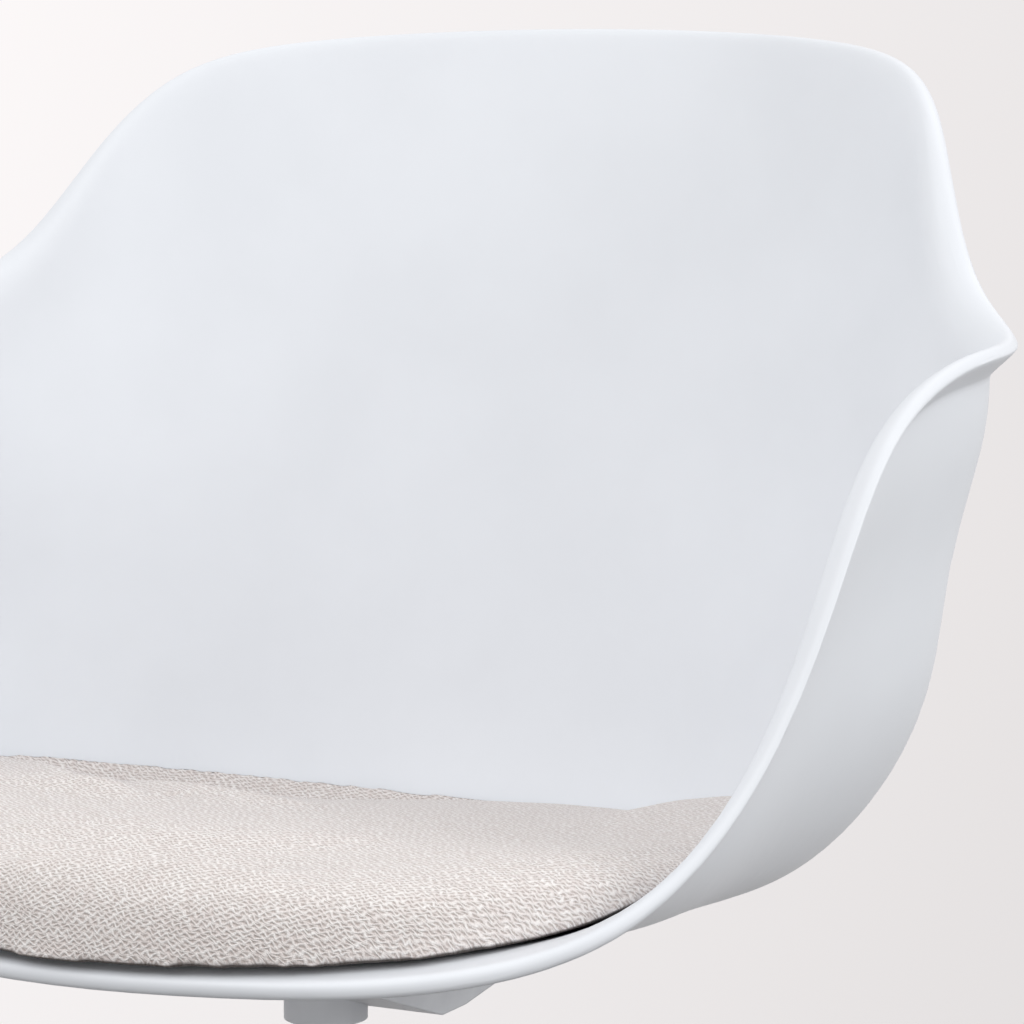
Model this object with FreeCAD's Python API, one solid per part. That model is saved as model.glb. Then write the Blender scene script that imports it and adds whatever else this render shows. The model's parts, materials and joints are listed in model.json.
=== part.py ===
import FreeCAD, Part
import os
from math import atan2, cos, hypot, pi, radians, sin, tan

# Swivel office armchair: a one-piece moulded bucket shell with a loose seat pad, bolted to a
# tilting seat plate on a gas column and a five-arm base with twin-wheel castors.
# Millimetres, +Z up, origin on the floor under the column axis. The sitter faces -Y.

V = FreeCAD.Vector
X_AXIS, Y_AXIS, Z_AXIS = V(1, 0, 0), V(0, 1, 0), V(0, 0, 1)

# Shell, in the seat's own frame: flat floor at z = 0, column axis at x = y = 0
SEAT_HEIGHT = 430.0         # seat floor above the ground on the column axis, column fully down
SEAT_ANGLE = 5.0            # backward slope of the seat floor, degrees
SHELL_WALL = 5.0            # moulded wall
RIM_THICKNESS = 9.0         # width of the rolled rim
RIM_DEPTH = 8.0             # height of the rolled rim, down to its free edge
RIM_EDGE = 1.0              # rounding of the rim's free edge and of the corner behind it
ARM_FLANGE = 19.0           # how far the arms turn outward at the top
ARM_FLANGE_RISE = 14.0      # rise of that flange
FLOOR_RADIUS = 128.0        # round flat part of the floor
FLOOR_HALF_WIDTH = 228.0    # where the side walls would meet the floor
FLOOR_BACK = 206.0          # where the back would meet the floor
FLOOR_FRONT = 200.0         # where the floor starts to run out to the front lip
FLOOR_ROUNDNESS = 2.45      # power of the floor outline, 2 is an ellipse
FRONT_REACH = 250.0         # front lip ahead of the column axis
FRONT_DROP = 20.0           # front lip below the seat floor
ARM_HALF_SPAN = 324.0       # half the width over the arms
ARM_HEIGHT = 278.0          # top of the arms above the seat floor
BACK_REACH = 272.0          # top of the back behind the column axis
BACK_HEIGHT = 442.0         # top of the back above the seat floor
BACK_HALF_WIDTH = 221.0     # half the width at the back's upper corners

# Shell fixings
BOLT_X = 75.0               # half spacing of the fixing screws, left to right
BOLT_Y = 80.0               # half spacing of the fixing screws, front to back
BOSS_RADIUS = 12.0
BOSS_HEIGHT = 4.0
INSERT_RADIUS = 4.0
INSERT_LENGTH = 8.0
SCREW_RADIUS = 3.0
SCREW_HEAD_RADIUS = 6.0
SCREW_HEAD_HEIGHT = 4.0
SCREW_KEY = 4.0             # across the flats of the screw's hex socket

# Seat pad
PAD_HEIGHT = 30.0           # middle of the pad above the seat floor
PAD_FRONT_HEIGHT = 28.0     # its front edge
PAD_SIDE_HEIGHT = 38.0      # its sides, against the walls
PAD_BACK_HEIGHT = 15.0      # its rear edge
PAD_FRONT_INSET = 10.0      # bare shell ahead of the pad
PAD_EDGE = 18.0             # rounding of the pad's upper edge
PAD_DEPTH = 60.0            # rough depth from which the pad is cut to the shell
PAD_OVERRUN = 40.0          # rough width beyond the foot of the wall
PAD_SEAM = 18               # control point where the pad's surface closes, away from the shell's seam
PAD_GAP = 0.4               # pad to shell
BOARD_RADIUS = 112.0
BOARD_THICKNESS = 3.0
PATCH_RADIUS = 20.0
PATCH_THICKNESS = 2.0
PATCH_SPACING = 62.0        # half spacing of the grip patches

# Seat plate and tilt mechanism
PLATE_HALF_WIDTH = 93.0
PLATE_HALF_LENGTH = 98.0
PLATE_THICKNESS = 3.0
PLATE_CORNER = 22.0
EAR_THICKNESS = 3.5
EAR_RADIUS = 13.0
EAR_HALF_LENGTH = 26.0
TILT_RANGE = 12.0           # degrees of backward tilt
PIVOT_Y = -50.0             # tilt axle, ahead of the column axis
PIVOT_DROP = 28.0           # tilt axle below the seat floor
AXLE_RADIUS = 6.0
AXLE_END = 2.0              # axle left beyond its clips
CLIP_THICKNESS = 1.2
CLIP_RADIUS = 9.0
CLIP_GROOVE = 1.0           # groove depth for a clip
BUSH_WALL = 2.0
BUSH_FLANGE = 1.5
HOUSING_HALF_WIDTH = 58.0
HOUSING_FRONT = 88.0
HOUSING_REAR = 98.0
HOUSING_WALL = 4.0
HOUSING_DROP = 70.0         # underside of the housing below the seat floor
HOUSING_FRONT_DROP = 34.0   # underside of its nose below the seat floor
HOUSING_KEEL = 40.0         # rear end of its flat underside
HOUSING_KEEL_FRONT = 15.0   # front end of its flat underside, behind the column axis
FRONT_BLOCK = 22.0          # solid nose under the front buffers
BUFFER_HEIGHT = 10.0
BUFFER_RADIUS = 10.0
BUFFER_X = 36.0
SPRING_X = 32.0
SPRING_Y = 62.0
SPRING_RADIUS = 11.0        # coil centre line
SPRING_WIRE = 1.6           # wire radius
SPRING_TURNS = 5.0
SPRING_POST = 7.0           # radius of the post inside each spring
SPRING_POST_HEIGHT = 8.0
SPRING_LEDGE = 2.0          # width of the spring's seat outside its coil
TILT_GAP = 3.0              # seat plate to housing at full tilt

# Height lever, on the sitter's right
LEVER_FULCRUM = 50.0        # fulcrum to column axis
LEVER_WIDTH = 8.0
LEVER_THICKNESS = 5.0
LEVER_NOSE = 6.0            # lever end beyond the column axis
LEVER_KNEE = 66.0           # where it bends down outside the housing
LEVER_ELBOW = 112.0
LEVER_TIP = 196.0
LEVER_DROP = 18.0           # outer arm below the fulcrum
LEVER_RISE = 5.0            # degrees of travel
LEVER_PIN_RADIUS = 2.5
LUG_THICKNESS = 4.0
HANDLE_LENGTH = 78.0
HANDLE_WIDTH = 28.0
HANDLE_THICKNESS = 11.0
HANDLE_GRIP = 40.0          # lever length held inside the handle

# Gas column
STROKE = 120.0              # height adjustment
CYLINDER_RADIUS = 14.0
CYLINDER_WALL = 2.0
CONE_LENGTH = 31.0          # taper seated in the housing
CONE_TAPER = 0.85           # radius lost over the taper
CONE_BOSS_WALL = 7.0
CYLINDER_PROUD = 2.0        # cylinder above the taper boss
CYLINDER_CAP = 12.0
VALVE_RADIUS = 4.0
VALVE_PROUD = 6.0
VALVE_LENGTH = 24.0
ROD_RADIUS = 5.0
GUIDE_LENGTH = 15.0
PISTON_LENGTH = 15.0
TUBE_RADIUS = 25.0
TUBE_WALL = 3.5
TUBE_TOP_GAP = 26.0         # tube top to housing, column fully down
TUBE_FLOOR = 4.0
TUBE_SINK = 2.0             # tube end above the underside of the hub
TUBE_TAPER = 1.25           # radius lost over the hub
BUSH_LENGTH = 65.0
BUSH_COLLAR = 3.0
RACE_THICKNESS = 2.5
RACE_RADIUS = 13.0
BALL_RADIUS = 2.0
BALL_COUNT = 12
BUFFER_RING_HEIGHT = 10.0
BUFFER_RING_RADIUS = 12.0
ROD_TAIL = 8.0              # rod below the tube floor
ROD_CLIP_RADIUS = 9.0

# Five-arm base
ARM_COUNT = 5
FIRST_ARM = 90.0            # direction of the first arm, degrees from +X
BASE_RADIUS = 312.0         # castor stems from the column axis
HUB_RADIUS = 34.0
HUB_BOTTOM = 58.0
HUB_TOP = 128.0
ARM_ROOT_WIDTH = 52.0
ARM_TIP_WIDTH = 30.0
ARM_ROOT_BOTTOM = 80.0
ARM_ROOT_TOP = 122.0
ARM_TIP_TOP = 100.0
ARM_WALL = 5.0
ARM_EDGE = 9.0              # rounding of the arm's upper edges
SOCKET_RADIUS = 17.0

# Castors
WHEEL_RADIUS = 30.0
WHEEL_WIDTH = 18.0
WHEEL_EDGE = 4.0
WHEEL_DISH = 3.0            # depth of the dished outer face
WHEEL_RIM = 5.0             # width of the rim around the dish
CASTOR_TRAIL = 20.0         # axle behind the stem
CASTOR_WEB = 12.0           # body between the wheels
HOOD_GAP = 2.2              # wheel to hood
HOOD_WALL = 3.0
HOOD_DROP = 6.0             # hood's lower edge above the axle
WHEEL_AXLE_RADIUS = 4.0
STEM_RADIUS = 5.5
STEM_LENGTH = 24.0
STEM_FLOOR = 1.0            # castor body left under the stem
NECK_RADIUS = 13.0
CASTOR_HEIGHT = 74.0        # floor to the arm's socket
TRAIL_TURN = 90.0           # castors trail at this angle to their arms

# Clearances
RUN = 0.05                  # radial clearance of a turning or sliding fit
SEAT_FIT = 0.02             # radial clearance of a pressed or tapered seat
REST_GAP = 0.3              # between faces that rest or run on each other
WEB_GAP = 1.0               # wheel to castor body

# Values that follow from the sizes above
PLATE_TOP = -SHELL_WALL - BOSS_HEIGHT
PLATE_BOTTOM = PLATE_TOP - PLATE_THICKNESS
PIVOT = V(0, PIVOT_Y, SEAT_HEIGHT - PIVOT_DROP)
HOUSING_BOTTOM = SEAT_HEIGHT - HOUSING_DROP
CONE_BOTTOM = HOUSING_BOTTOM - HOUSING_WALL
CONE_TOP = CONE_BOTTOM + CONE_LENGTH
CYLINDER_TOP = CONE_TOP + CYLINDER_PROUD
VALVE_TOP = CYLINDER_TOP + VALVE_PROUD
FULCRUM_Z = VALVE_TOP + REST_GAP + LEVER_THICKNESS / 2
TUBE_TOP = CONE_BOTTOM - TUBE_TOP_GAP
TUBE_BOTTOM = HUB_BOTTOM + TUBE_SINK
RACE_BOTTOM = TUBE_BOTTOM + TUBE_FLOOR + REST_GAP
BALL_CENTRE = RACE_BOTTOM + RACE_THICKNESS + RUN + BALL_RADIUS
WASHER_BOTTOM = BALL_CENTRE + BALL_RADIUS + RUN
RING_BOTTOM = WASHER_BOTTOM + RACE_THICKNESS
CYLINDER_BOTTOM = RING_BOTTOM + BUFFER_RING_HEIGHT + REST_GAP
ROD_TOP = CYLINDER_BOTTOM + STROKE + GUIDE_LENGTH + REST_GAP + PISTON_LENGTH
WHEEL_INNER = CASTOR_WEB / 2 + WEB_GAP
SEAT = FreeCAD.Placement(V(0, 0, SEAT_HEIGHT), FreeCAD.Rotation(X_AXIS, -SEAT_ANGLE))


# Shape helpers
def save(name, *solids):
    shape = solids[0] if len(solids) == 1 else Part.makeCompound(list(solids))
    bad = [s for s in shape.Solids if not s.isValid() or s.Volume <= 0]
    if bad or not shape.Solids:
        raise ValueError(f"{name} has a bad solid")
    shape.exportStep(os.path.join("parts", name + ".step"))
    print(f"{name}: {len(shape.Solids)} solid(s), {shape.Volume / 1000:.1f} cm3")


def in_seat(shape):
    """The shape moved from the seat's own frame to the chair's."""
    moved = shape.copy()
    moved.Placement = SEAT.multiply(moved.Placement)
    return moved


def rod(radius, length, start, direction=Z_AXIS):
    return Part.makeCylinder(radius, length, start, direction)


def ring(outer, inner, height, bottom):
    """A washer or sleeve about the column axis."""
    return rod(outer, height, V(0, 0, bottom)).cut(rod(inner, height, V(0, 0, bottom)))


def box(x0, x1, y0, y1, z0, z1):
    return Part.makeBox(x1 - x0, y1 - y0, z1 - z0, V(x0, y0, z0))


def spun(points, centre=V(0, 0, 0), axis=Z_AXIS):
    """A profile of (radius, height) points, revolved about the Z axis."""
    outline = Part.makePolygon([V(r, 0, z) for r, z in points + points[:1]])
    return Part.Face(outline).revolve(centre, axis, 360)


def prism_yz(points, half_width):
    """A side-view outline of (y, z) points, as wide as twice half_width."""
    outline = Part.makePolygon([V(-half_width, y, z) for y, z in points + points[:1]])
    return Part.Face(outline).extrude(V(2 * half_width, 0, 0))


def rounded_plate(half_x, half_y, corner, z, thickness):
    plate = box(-half_x, half_x, -half_y, half_y, z, z + thickness)
    upright = [e for e in plate.Edges if abs(e.tangentAt(e.FirstParameter).z) > 0.9]
    return plate.makeFillet(corner, upright)


def around(shape, angle, centre=V(0, 0, 0)):
    turned = shape.copy()
    turned.rotate(centre, Z_AXIS, angle)
    return turned


def smooth_solid(rows, seam=0):
    """A closed body from control loops: each row is one closed loop, and the first and last are flat.
    The surface is a cubic B-spline, periodic along the loops and clamped across them.
    The seam is the control point at which the loops close."""
    around_count, across_count = len(rows[0]), len(rows)
    poles = [[rows[j][i - seam] for j in range(across_count)] for i in range(around_count)]
    spans = across_count - 3
    surface = Part.BSplineSurface()
    surface.buildFromPolesMultsKnots(
        poles,
        [1] * (around_count + 1), [4] + [1] * (spans - 1) + [4],
        [float(i) for i in range(around_count + 1)], [float(i) for i in range(spans + 1)],
        True, False, 3, 3)
    skin = surface.toShape()
    ends = [e for e in skin.Edges if e.isClosed() and not e.isSeam(skin)]
    caps = [Part.Face(Part.Wire(e)) for e in ends]
    shell = Part.makeShell([skin] + caps)
    shell.sewShape()
    solid = Part.Solid(shell)
    if solid.Volume < 0:
        solid.reverse()
    return solid


# Bucket shell: its control loops
def rim_points():
    """Control points of the rim's right half, front centre to back centre."""
    a, h, b = ARM_HALF_SPAN, ARM_HEIGHT, BACK_HEIGHT
    f, d = FRONT_REACH, FRONT_DROP
    w, r = BACK_HALF_WIDTH, BACK_REACH
    return [
        (0.0, -f, -d),
        (0.26 * a, -0.985 * f, -0.8 * d),
        (0.53 * a, -0.92 * f, -0.5 * d),
        (0.773 * a, -0.72 * f, 0.045 * h),
        (0.872 * a, -0.48 * f, 0.285 * h),
        (0.913 * a, -0.32 * f, 0.577 * h),
        (0.931 * a, -0.148 * f, 0.88 * h),
        (0.978 * a, 0.107 * r, 0.989 * h),
        (a, 0.33 * r, h),
        (0.854 * a, 0.463 * r, h + 0.15 * (b - h)),
        (1.13 * w, 0.574 * r, h + 0.554 * (b - h)),
        (w, 0.728 * r, h + 0.863 * (b - h)),
        (0.71 * w, 0.893 * r, 0.982 * b),
        (0.353 * w, 0.978 * r, 0.9955 * b),
        (0.0, r, b),
    ]


# How far each rim point's wall is a flaring arm (1) rather than a plain wall (0)
FLARE = [0, 0, 0, 0.1, 0.3, 0.5, 0.8, 1, 1, 0.9, 0.6, 0.3, 0.1, 0, 0]
# Share of the wall's height, share of its way out there, and what a flaring arm adds to that
WALL_STEPS = ((0.34, 0.34, 0.50), (0.62, 0.60, 0.235), (0.86, 0.82, 0.26))
FLOOR_RUN = 0.35            # share of the way to the wall at which the floor is still flat


def floor_reach(angle):
    """Floor outline: distance from the column axis to the foot of the wall, angle 0 is the front."""
    ahead = FLOOR_FRONT if cos(angle) > 0 else FLOOR_BACK
    n = FLOOR_ROUNDNESS
    return ((abs(sin(angle)) / FLOOR_HALF_WIDTH) ** n + (abs(cos(angle)) / ahead) ** n) ** (-1 / n)


def along(point, *steps):
    """A section point (radius, z) moved by each (direction, length) in turn."""
    r, z = point
    for (dr, dz), length in steps:
        r, z = r + dr * length, z + dz * length
    return r, z


def heading(start, end):
    """Unit direction from one section point to another."""
    length = hypot(end[0] - start[0], end[1] - start[1])
    return (end[0] - start[0]) / length, (end[1] - start[1]) / length


def outward(direction):
    """The direction square to a wall that is followed upward, out of the seat."""
    return direction[1], -direction[0]


def inner_profile(rim_point, flare):
    """(direction, points): one radial section of the shell's inner face, floor to rim, as (radius, z)."""
    x, y, top = rim_point
    angle, reach = atan2(x, -y), hypot(x, y)
    foot = floor_reach(angle)
    points = [(FLOOR_RADIUS, 0.0), (FLOOR_RADIUS + FLOOR_RUN * (foot - FLOOR_RADIUS), 0.0), (foot, 0.0)]
    crest = reach, top
    bend = reach - ARM_FLANGE * flare, top - ARM_FLANGE_RISE * flare
    for up, out, flared in WALL_STEPS:
        points.append((foot + (bend[0] - foot) * (out + flared * flare), bend[1] * up))
    neck = along(bend, (heading(points[-1], bend), -RIM_DEPTH * (1 - flare)))
    return angle, points + [neck, crest]


def pushed(points, amount):
    """A section moved sideways, out of the seat, by the same amount at each point."""
    moved = []
    for i, point in enumerate(points):
        way = heading(points[max(i - 1, 0)], points[min(i + 1, len(points) - 1)])
        moved.append(along(point, (outward(way), amount)))
    return moved


def loops(sections):
    """Closed control loops from the right half's radial sections, mirrored to the left."""
    rows = []
    for j in range(len(sections[0][1])):
        right = [V(sin(a) * s[j][0], -cos(a) * s[j][0], s[j][1]) for a, s in sections]
        right[0].x = right[-1].x = 0.0
        rows.append(right + [V(-p.x, p.y, p.z) for p in right[-2:0:-1]])
    return rows


RIM_ROLL = 0.65             # share of the rim's width at which a flaring arm starts to roll under


def rolled_rim(inner, flare):
    """The rim's outer points: over its crest to the free edge, then in to the outer wall."""
    step, neck, crest = inner[-3:]
    up, wall = heading(neck, crest), heading(step, neck)
    over = along(crest, (outward(up), RIM_THICKNESS * (1 - (1 - RIM_ROLL) * flare)))
    edge = along(crest, (outward(up), RIM_THICKNESS), (up, -RIM_DEPTH * (1 - flare)))
    corner = along(neck, (outward(wall), SHELL_WALL), (outward(up), RIM_THICKNESS * flare))
    inward = heading(edge, corner)
    return [over, along(edge, (heading(edge, over), RIM_EDGE)), along(edge, (inward, RIM_EDGE)),
            along(corner, (inward, -RIM_EDGE)), along(corner, (wall, -RIM_EDGE))]


def shell_sections():
    sections = []
    for rim_point, flare in zip(rim_points(), FLARE):
        angle, inner = inner_profile(rim_point, flare)
        outer = pushed(inner[:-1], SHELL_WALL)[:-1]
        sections.append((angle, inner + rolled_rim(inner, flare) + outer[::-1]))
    return sections


def bolt_places():
    return [V(sx * BOLT_X, sy * BOLT_Y, 0) for sx in (-1, 1) for sy in (-1, 1)]


def seat_shell():
    shell = smooth_solid(loops(shell_sections()))
    for p in bolt_places():
        shell = shell.fuse(rod(BOSS_RADIUS, BOSS_HEIGHT, p + V(0, 0, PLATE_TOP)))
    for p in bolt_places():
        shell = shell.cut(rod(INSERT_RADIUS, INSERT_LENGTH, p + V(0, 0, PLATE_TOP)))
    return shell.removeSplitter()


def shell_inserts():
    made = []
    for p in bolt_places():
        bottom = p + V(0, 0, PLATE_TOP)
        body = rod(INSERT_RADIUS - SEAT_FIT, INSERT_LENGTH - REST_GAP, bottom)
        made.append(body.cut(rod(SCREW_RADIUS, INSERT_LENGTH, bottom)))
    return made


def plate_screws():
    made = []
    for p in bolt_places():
        head_top = p + V(0, 0, PLATE_BOTTOM)
        head = rod(SCREW_HEAD_RADIUS, SCREW_HEAD_HEIGHT, head_top - V(0, 0, SCREW_HEAD_HEIGHT))
        rim = [e for e in head.Edges if e.BoundBox.ZMax < PLATE_BOTTOM - SCREW_HEAD_HEIGHT / 2]
        head = head.makeFillet(SCREW_HEAD_HEIGHT / 4, rim)
        grip = PLATE_THICKNESS + INSERT_LENGTH - 2 * REST_GAP
        screw = head.fuse(rod(SCREW_RADIUS - RUN, grip, head_top))
        key = Part.makePolygon([
            head_top + V(SCREW_KEY / 1.732 * cos(pi * i / 3), SCREW_KEY / 1.732 * sin(pi * i / 3),
                         -SCREW_HEAD_HEIGHT)
            for i in range(7)])
        made.append(screw.cut(Part.Face(key).extrude(V(0, 0, SCREW_HEAD_HEIGHT * 0.6))))
    return made


# Seat pad
def seat_room():
    """The space inside the shell, clear of its inner face by the pad's gap."""
    sections = []
    for rim_point, flare in zip(rim_points(), FLARE):
        angle, inner = inner_profile(rim_point, flare)
        wall = pushed(inner[:-1], -PAD_GAP)
        wall[0] = FLOOR_RADIUS, PAD_GAP
        lid = [(wall[-1][0], BACK_HEIGHT), (FLOOR_RADIUS, BACK_HEIGHT), (FLOOR_RADIUS / 2, BACK_HEIGHT)]
        sections.append((angle, wall + lid))
    return smooth_solid(loops(sections))


def pad_edge_height(angle):
    """Height of the pad's upper edge, angle 0 is the front."""
    ends = PAD_FRONT_HEIGHT if cos(angle) > 0 else PAD_BACK_HEIGHT
    return ends * cos(angle) ** 2 + PAD_SIDE_HEIGHT * sin(angle) ** 2


def pad_section(rim_point):
    """One radial section of the rough pad: down its side and back over the top."""
    x, y, _ = rim_point
    angle = atan2(x, -y)
    reach = min(hypot(x, y) - PAD_FRONT_INSET, floor_reach(angle) + PAD_OVERRUN)
    top = pad_edge_height(angle)
    side = [(FLOOR_RADIUS, -PAD_DEPTH), (reach, -PAD_DEPTH), (reach, -PAD_EDGE), (reach, top - PAD_EDGE)]
    crown = [(reach - PAD_EDGE / 3, top), (reach - 2 * PAD_EDGE, top)]
    inside = [(FLOOR_RADIUS + (reach - FLOOR_RADIUS) / 4, PAD_HEIGHT), (FLOOR_RADIUS, PAD_HEIGHT)]
    return angle, side + crown + inside


def seat_cushion():
    rough = smooth_solid(loops([pad_section(p) for p in rim_points()]), PAD_SEAM)
    pad = rough.common(seat_room())
    pocket = PATCH_THICKNESS + BOARD_THICKNESS + 2 * REST_GAP
    return pad.cut(rod(BOARD_RADIUS + REST_GAP, pocket, V(0, 0, 0)))


def cushion_board():
    bottom = V(0, 0, PATCH_THICKNESS + REST_GAP)
    return rod(BOARD_RADIUS, BOARD_THICKNESS, bottom)


def cushion_patches():
    spots = [V(sx * PATCH_SPACING, sy * PATCH_SPACING, REST_GAP / 2) for sx in (-1, 1) for sy in (-1, 1)]
    return [rod(PATCH_RADIUS, PATCH_THICKNESS, p) for p in spots]


# Seat plate and tilt axle
EAR_INNER = HOUSING_HALF_WIDTH + BUSH_FLANGE + REST_GAP
EAR_OUTER = EAR_INNER + EAR_THICKNESS
CLIP_INNER = EAR_OUTER + REST_GAP


def seat_plate():
    plate = rounded_plate(PLATE_HALF_WIDTH, PLATE_HALF_LENGTH, PLATE_CORNER, PLATE_BOTTOM, PLATE_THICKNESS)
    pivot = SEAT.inverse().multVec(PIVOT)
    for p in bolt_places():
        plate = plate.cut(rod(SCREW_RADIUS + REST_GAP, PLATE_THICKNESS, p + V(0, 0, PLATE_BOTTOM)))
    for side in (-1, 1):
        x = EAR_INNER if side > 0 else -EAR_OUTER
        corners = [V(x, pivot.y - EAR_HALF_LENGTH, PLATE_BOTTOM),
                   V(x, pivot.y + EAR_HALF_LENGTH, PLATE_BOTTOM),
                   V(x, pivot.y + EAR_RADIUS, pivot.z), V(x, pivot.y - EAR_RADIUS, pivot.z)]
        ear = Part.Face(Part.makePolygon(corners + corners[:1])).extrude(V(EAR_THICKNESS, 0, 0))
        ear = ear.fuse(rod(EAR_RADIUS, EAR_THICKNESS, V(x, pivot.y, pivot.z), X_AXIS))
        plate = plate.fuse(ear)
    bore = rod(AXLE_RADIUS + SEAT_FIT, 2 * EAR_OUTER, V(-EAR_OUTER, pivot.y, pivot.z), X_AXIS)
    return plate.cut(bore).removeSplitter()


def tilt_axle():
    half = CLIP_INNER + CLIP_THICKNESS + AXLE_END
    axle = rod(AXLE_RADIUS, 2 * half, PIVOT - V(half, 0, 0), X_AXIS)
    for x in (CLIP_INNER, -CLIP_INNER - CLIP_THICKNESS):
        start = PIVOT + V(x, 0, 0)
        groove = rod(AXLE_RADIUS + 1, CLIP_THICKNESS, start, X_AXIS)
        axle = axle.cut(groove.cut(rod(AXLE_RADIUS - CLIP_GROOVE, CLIP_THICKNESS, start, X_AXIS)))
    return axle


def axle_clips():
    made = []
    for x in (CLIP_INNER, -CLIP_INNER - CLIP_THICKNESS):
        start = PIVOT + V(x + RUN, 0, 0)
        width = CLIP_THICKNESS - 2 * RUN
        clip = rod(CLIP_RADIUS, width, start, X_AXIS)
        clip = clip.cut(rod(AXLE_RADIUS - CLIP_GROOVE + SEAT_FIT, width, start, X_AXIS))
        mouth = box(start.x, start.x + width, PIVOT.y - AXLE_RADIUS / 2, PIVOT.y + AXLE_RADIUS / 2,
                    PIVOT.z - CLIP_RADIUS, PIVOT.z)
        made.append(clip.cut(mouth))
    return made


def axle_bushes():
    made = []
    for side in (-1, 1):
        inside = HOUSING_HALF_WIDTH - HOUSING_WALL
        start = PIVOT + V(side * inside, 0, 0)
        way = V(side, 0, 0)
        sleeve = rod(AXLE_RADIUS + BUSH_WALL - SEAT_FIT, HOUSING_WALL, start, way)
        face = PIVOT + V(side * HOUSING_HALF_WIDTH, 0, 0)
        flange = rod(AXLE_RADIUS + 2 * BUSH_WALL, BUSH_FLANGE, face, way)
        made.append(sleeve.fuse(flange).cut(rod(AXLE_RADIUS + RUN, HOUSING_WALL + BUSH_FLANGE, start, way)))
    return made


def tilt_buffers():
    """Rubber stops under the front of the seat plate, resting on the housing's nose."""
    y = SEAT.inverse().multVec(V(0, -HOUSING_FRONT + FRONT_BLOCK / 2, PIVOT.z)).y
    height = BUFFER_HEIGHT - REST_GAP
    return [rod(BUFFER_RADIUS, height, V(sx * BUFFER_X, y, PLATE_BOTTOM - height)) for sx in (-1, 1)]


# Mechanism housing
def plate_gap_at_pivot():
    """Distance from the tilt axle to the underside of the seat plate, the same at every tilt."""
    return PLATE_BOTTOM - SEAT.inverse().multVec(PIVOT).z


def sloped_line(distance, angle):
    """Height at y of a line that passes the pivot at this distance and falls to the rear at this angle."""
    a = radians(angle)
    return lambda y: PIVOT.z + distance / cos(a) - (y - PIVOT.y) * tan(a)


def housing_outline():
    front = sloped_line(plate_gap_at_pivot() - BUFFER_HEIGHT, SEAT_ANGLE)
    rear = sloped_line(plate_gap_at_pivot() - TILT_GAP, SEAT_ANGLE + TILT_RANGE)
    fall = tan(radians(SEAT_ANGLE + TILT_RANGE)) - tan(radians(SEAT_ANGLE))
    crest = PIVOT.y + (rear(PIVOT.y) - front(PIVOT.y)) / fall
    top = [(-HOUSING_FRONT, front(-HOUSING_FRONT)), (crest, front(crest)), (HOUSING_REAR, rear(HOUSING_REAR))]
    tail = rear(HOUSING_REAR) - 2 * HOUSING_WALL
    bottom = [(HOUSING_REAR, tail), (HOUSING_KEEL, HOUSING_BOTTOM), (HOUSING_KEEL_FRONT, HOUSING_BOTTOM),
              (-HOUSING_FRONT, SEAT_HEIGHT - HOUSING_FRONT_DROP)]
    return top, bottom


def housing_floor(y):
    """Height of the housing's inner floor."""
    _, (tail, keel, nose, front) = housing_outline()
    if y > keel[0]:
        share = (y - keel[0]) / (tail[0] - keel[0])
        return keel[1] + share * (tail[1] - keel[1]) + HOUSING_WALL
    if y < nose[0]:
        share = (nose[0] - y) / (nose[0] - front[0])
        return nose[1] + share * (front[1] - nose[1]) + HOUSING_WALL
    return HOUSING_BOTTOM + HOUSING_WALL


def spring_reach():
    return SPRING_RADIUS + SPRING_WIRE + SPRING_LEDGE


def spring_seat():
    """Height of the level seats under the tilt springs, just proud of the sloping floor."""
    return max(housing_floor(SPRING_Y + side * spring_reach()) for side in (-1, 1)) + SPRING_WIRE / 2


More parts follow.
